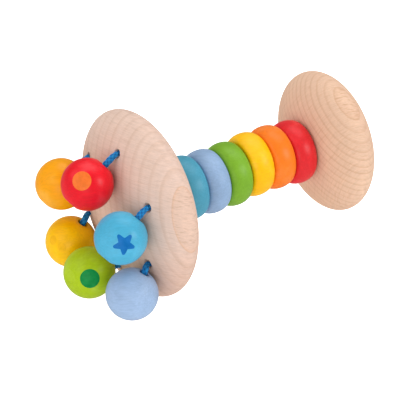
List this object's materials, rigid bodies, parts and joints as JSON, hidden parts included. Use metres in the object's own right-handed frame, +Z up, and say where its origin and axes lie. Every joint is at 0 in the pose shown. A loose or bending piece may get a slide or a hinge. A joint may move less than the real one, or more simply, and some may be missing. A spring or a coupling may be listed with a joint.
{
  "type": "baby rattle",
  "caption": "Grasping baby rattle: large and small turned beech discs on a wooden spindle, coloured wooden rings that spin between them, and coloured wooden beads swinging on cords.",
  "frame": {"origin": "centre of the flat land on the small disc's outer face", "axes": "+X along the spindle, from the large disc to the small disc and out of the small disc's end face; +Z up when the rattle lies on its side with the top cord hole uppermost"},
  "size_m": [0.1287, 0.073, 0.0728],
  "materials": {
    "beech_large": "satin",
    "beech_small": "satin",
    "beech_raw": "matt",
    "ring_teal": "satin glaze",
    "ring_lavender": "satin glaze",
    "ring_green": "satin glaze",
    "ring_yellow": "satin glaze",
    "ring_orange": "satin glaze",
    "ring_red": "satin glaze",
    "bead_red": "satin glaze",
    "bead_sky": "satin glaze",
    "bead_lavender": "satin glaze",
    "bead_green": "satin glaze",
    "bead_yellow": "satin glaze",
    "bead_amber": "satin glaze",
    "cord_blue": "braided, matt"
  },
  "bodies": {
    "body": {"large_disc": "beech_large", "small_disc": "beech_small", "spindle": "beech_raw", "cord_anchor_red": "cord_blue", "cord_anchor_sky": "cord_blue", "cord_anchor_lavender": "cord_blue", "cord_anchor_green": "cord_blue", "cord_anchor_yellow": "cord_blue", "cord_anchor_amber": "cord_blue"},
    "ring_teal": {"ring_teal": "ring_teal"},
    "ring_lavender": {"ring_lavender": "ring_lavender"},
    "ring_green": {"ring_green": "ring_green"},
    "ring_yellow": {"ring_yellow": "ring_yellow"},
    "ring_orange": {"ring_orange": "ring_orange"},
    "ring_red": {"ring_red": "ring_red"},
    "bend_red": {"cord_bend_red": "cord_blue"},
    "bead_red": {"cord_end_red": "cord_blue", "bead_red": "bead_red", "bead_plug_red": "beech_raw"},
    "bend_sky": {"cord_bend_sky": "cord_blue"},
    "bead_sky": {"cord_end_sky": "cord_blue", "bead_sky": "bead_sky", "bead_plug_sky": "beech_raw"},
    "bend_lavender": {"cord_bend_lavender": "cord_blue"},
    "bead_lavender": {"cord_end_lavender": "cord_blue", "bead_lavender": "bead_lavender", "bead_plug_lavender": "beech_raw"},
    "bend_green": {"cord_bend_green": "cord_blue"},
    "bead_green": {"cord_end_green": "cord_blue", "bead_green": "bead_green", "bead_plug_green": "beech_raw"},
    "bend_yellow": {"cord_bend_yellow": "cord_blue"},
    "bead_yellow": {"cord_end_yellow": "cord_blue", "bead_yellow": "bead_yellow", "bead_plug_yellow": "beech_raw"},
    "bend_amber": {"cord_bend_amber": "cord_blue"},
    "bead_amber": {"cord_end_amber": "cord_blue", "bead_amber": "bead_amber", "bead_plug_amber": "beech_raw"}
  },
  "joints": [
    {"name": "ring_teal_spin", "type": "hinge", "parent": "body", "child": "ring_teal", "pos_m": [-0.07573, 0, 0], "axis": [1, 0, 0], "continuous": true},
    {"name": "ring_lavender_spin", "type": "hinge", "parent": "body", "child": "ring_lavender", "pos_m": [-0.06593, 0, -0.0003], "axis": [1, 0, 0], "continuous": true},
    {"name": "ring_green_spin", "type": "hinge", "parent": "body", "child": "ring_green", "pos_m": [-0.05613, 0, -0.0002], "axis": [1, 0, 0], "continuous": true},
    {"name": "ring_yellow_spin", "type": "hinge", "parent": "body", "child": "ring_yellow", "pos_m": [-0.04633, 0, 0.0009], "axis": [1, 0, 0], "continuous": true},
    {"name": "ring_orange_spin", "type": "hinge", "parent": "body", "child": "ring_orange", "pos_m": [-0.03653, 0, 0.0009], "axis": [1, 0, 0], "continuous": true},
    {"name": "ring_red_spin", "type": "hinge", "parent": "body", "child": "ring_red", "pos_m": [-0.02673, 0, 0], "axis": [1, 0, 0], "continuous": true},
    {"name": "bead_red_sway", "type": "hinge", "parent": "body", "child": "bend_red", "pos_m": [-0.10595, 0, 0.0245], "axis": [-0.9581, 0, 0.2863], "range_deg": [-20, 20]},
    {"name": "bead_red_lift", "type": "hinge", "parent": "bend_red", "child": "bead_red", "pos_m": [-0.10595, 0, 0.0245], "axis": [0.0199, 0.9976, 0.0666], "range_deg": [0, 80]},
    {"name": "bead_sky_sway", "type": "hinge", "parent": "body", "child": "bend_sky", "pos_m": [-0.10595, -0.02122, 0.01225], "axis": [-0.9581, -0.248, 0.1432], "range_deg": [-20, 20]},
    {"name": "bead_sky_lift", "type": "hinge", "parent": "bend_sky", "child": "bead_sky", "pos_m": [-0.10595, -0.02122, 0.01225], "axis": [-0.2073, 0.9456, 0.2506], "range_deg": [0, 80]},
    {"name": "bead_lavender_sway", "type": "hinge", "parent": "body", "child": "bend_lavender", "pos_m": [-0.10595, -0.02122, -0.01225], "axis": [-0.9581, -0.248, -0.1432], "range_deg": [-17, 20]},
    {"name": "bead_lavender_lift", "type": "hinge", "parent": "bend_lavender", "child": "bead_lavender", "pos_m": [-0.10595, -0.02122, -0.01225], "axis": [-0.2447, 0.9688, -0.0401], "range_deg": [0, 22]},
    {"name": "bead_green_sway", "type": "hinge", "parent": "body", "child": "bend_green", "pos_m": [-0.10595, 0, -0.0245], "axis": [-0.9581, 0, -0.2863], "range_deg": [-20, 8]},
    {"name": "bead_green_lift", "type": "hinge", "parent": "bend_green", "child": "bead_green", "pos_m": [-0.10595, 0, -0.0245], "axis": [0, 1, 0], "range_deg": [-65, 16]},
    {"name": "bead_yellow_sway", "type": "hinge", "parent": "body", "child": "bend_yellow", "pos_m": [-0.10595, 0.02122, -0.01225], "axis": [-0.9581, 0.248, -0.1432], "range_deg": [-20, 8]},
    {"name": "bead_yellow_lift", "type": "hinge", "parent": "bend_yellow", "child": "bead_yellow", "pos_m": [-0.10595, 0.02122, -0.01225], "axis": [0.2808, 0.9113, -0.3012], "range_deg": [0, 22]},
    {"name": "bead_amber_sway", "type": "hinge", "parent": "body", "child": "bend_amber", "pos_m": [-0.10595, 0.02122, 0.01225], "axis": [-0.9581, 0.248, 0.1432], "range_deg": [-20, 20]},
    {"name": "bead_amber_lift", "type": "hinge", "parent": "bend_amber", "child": "bead_amber", "pos_m": [-0.10595, 0.02122, 0.01225], "axis": [0.2435, 0.9687, -0.0482], "range_deg": [0, 80]}
  ]
}
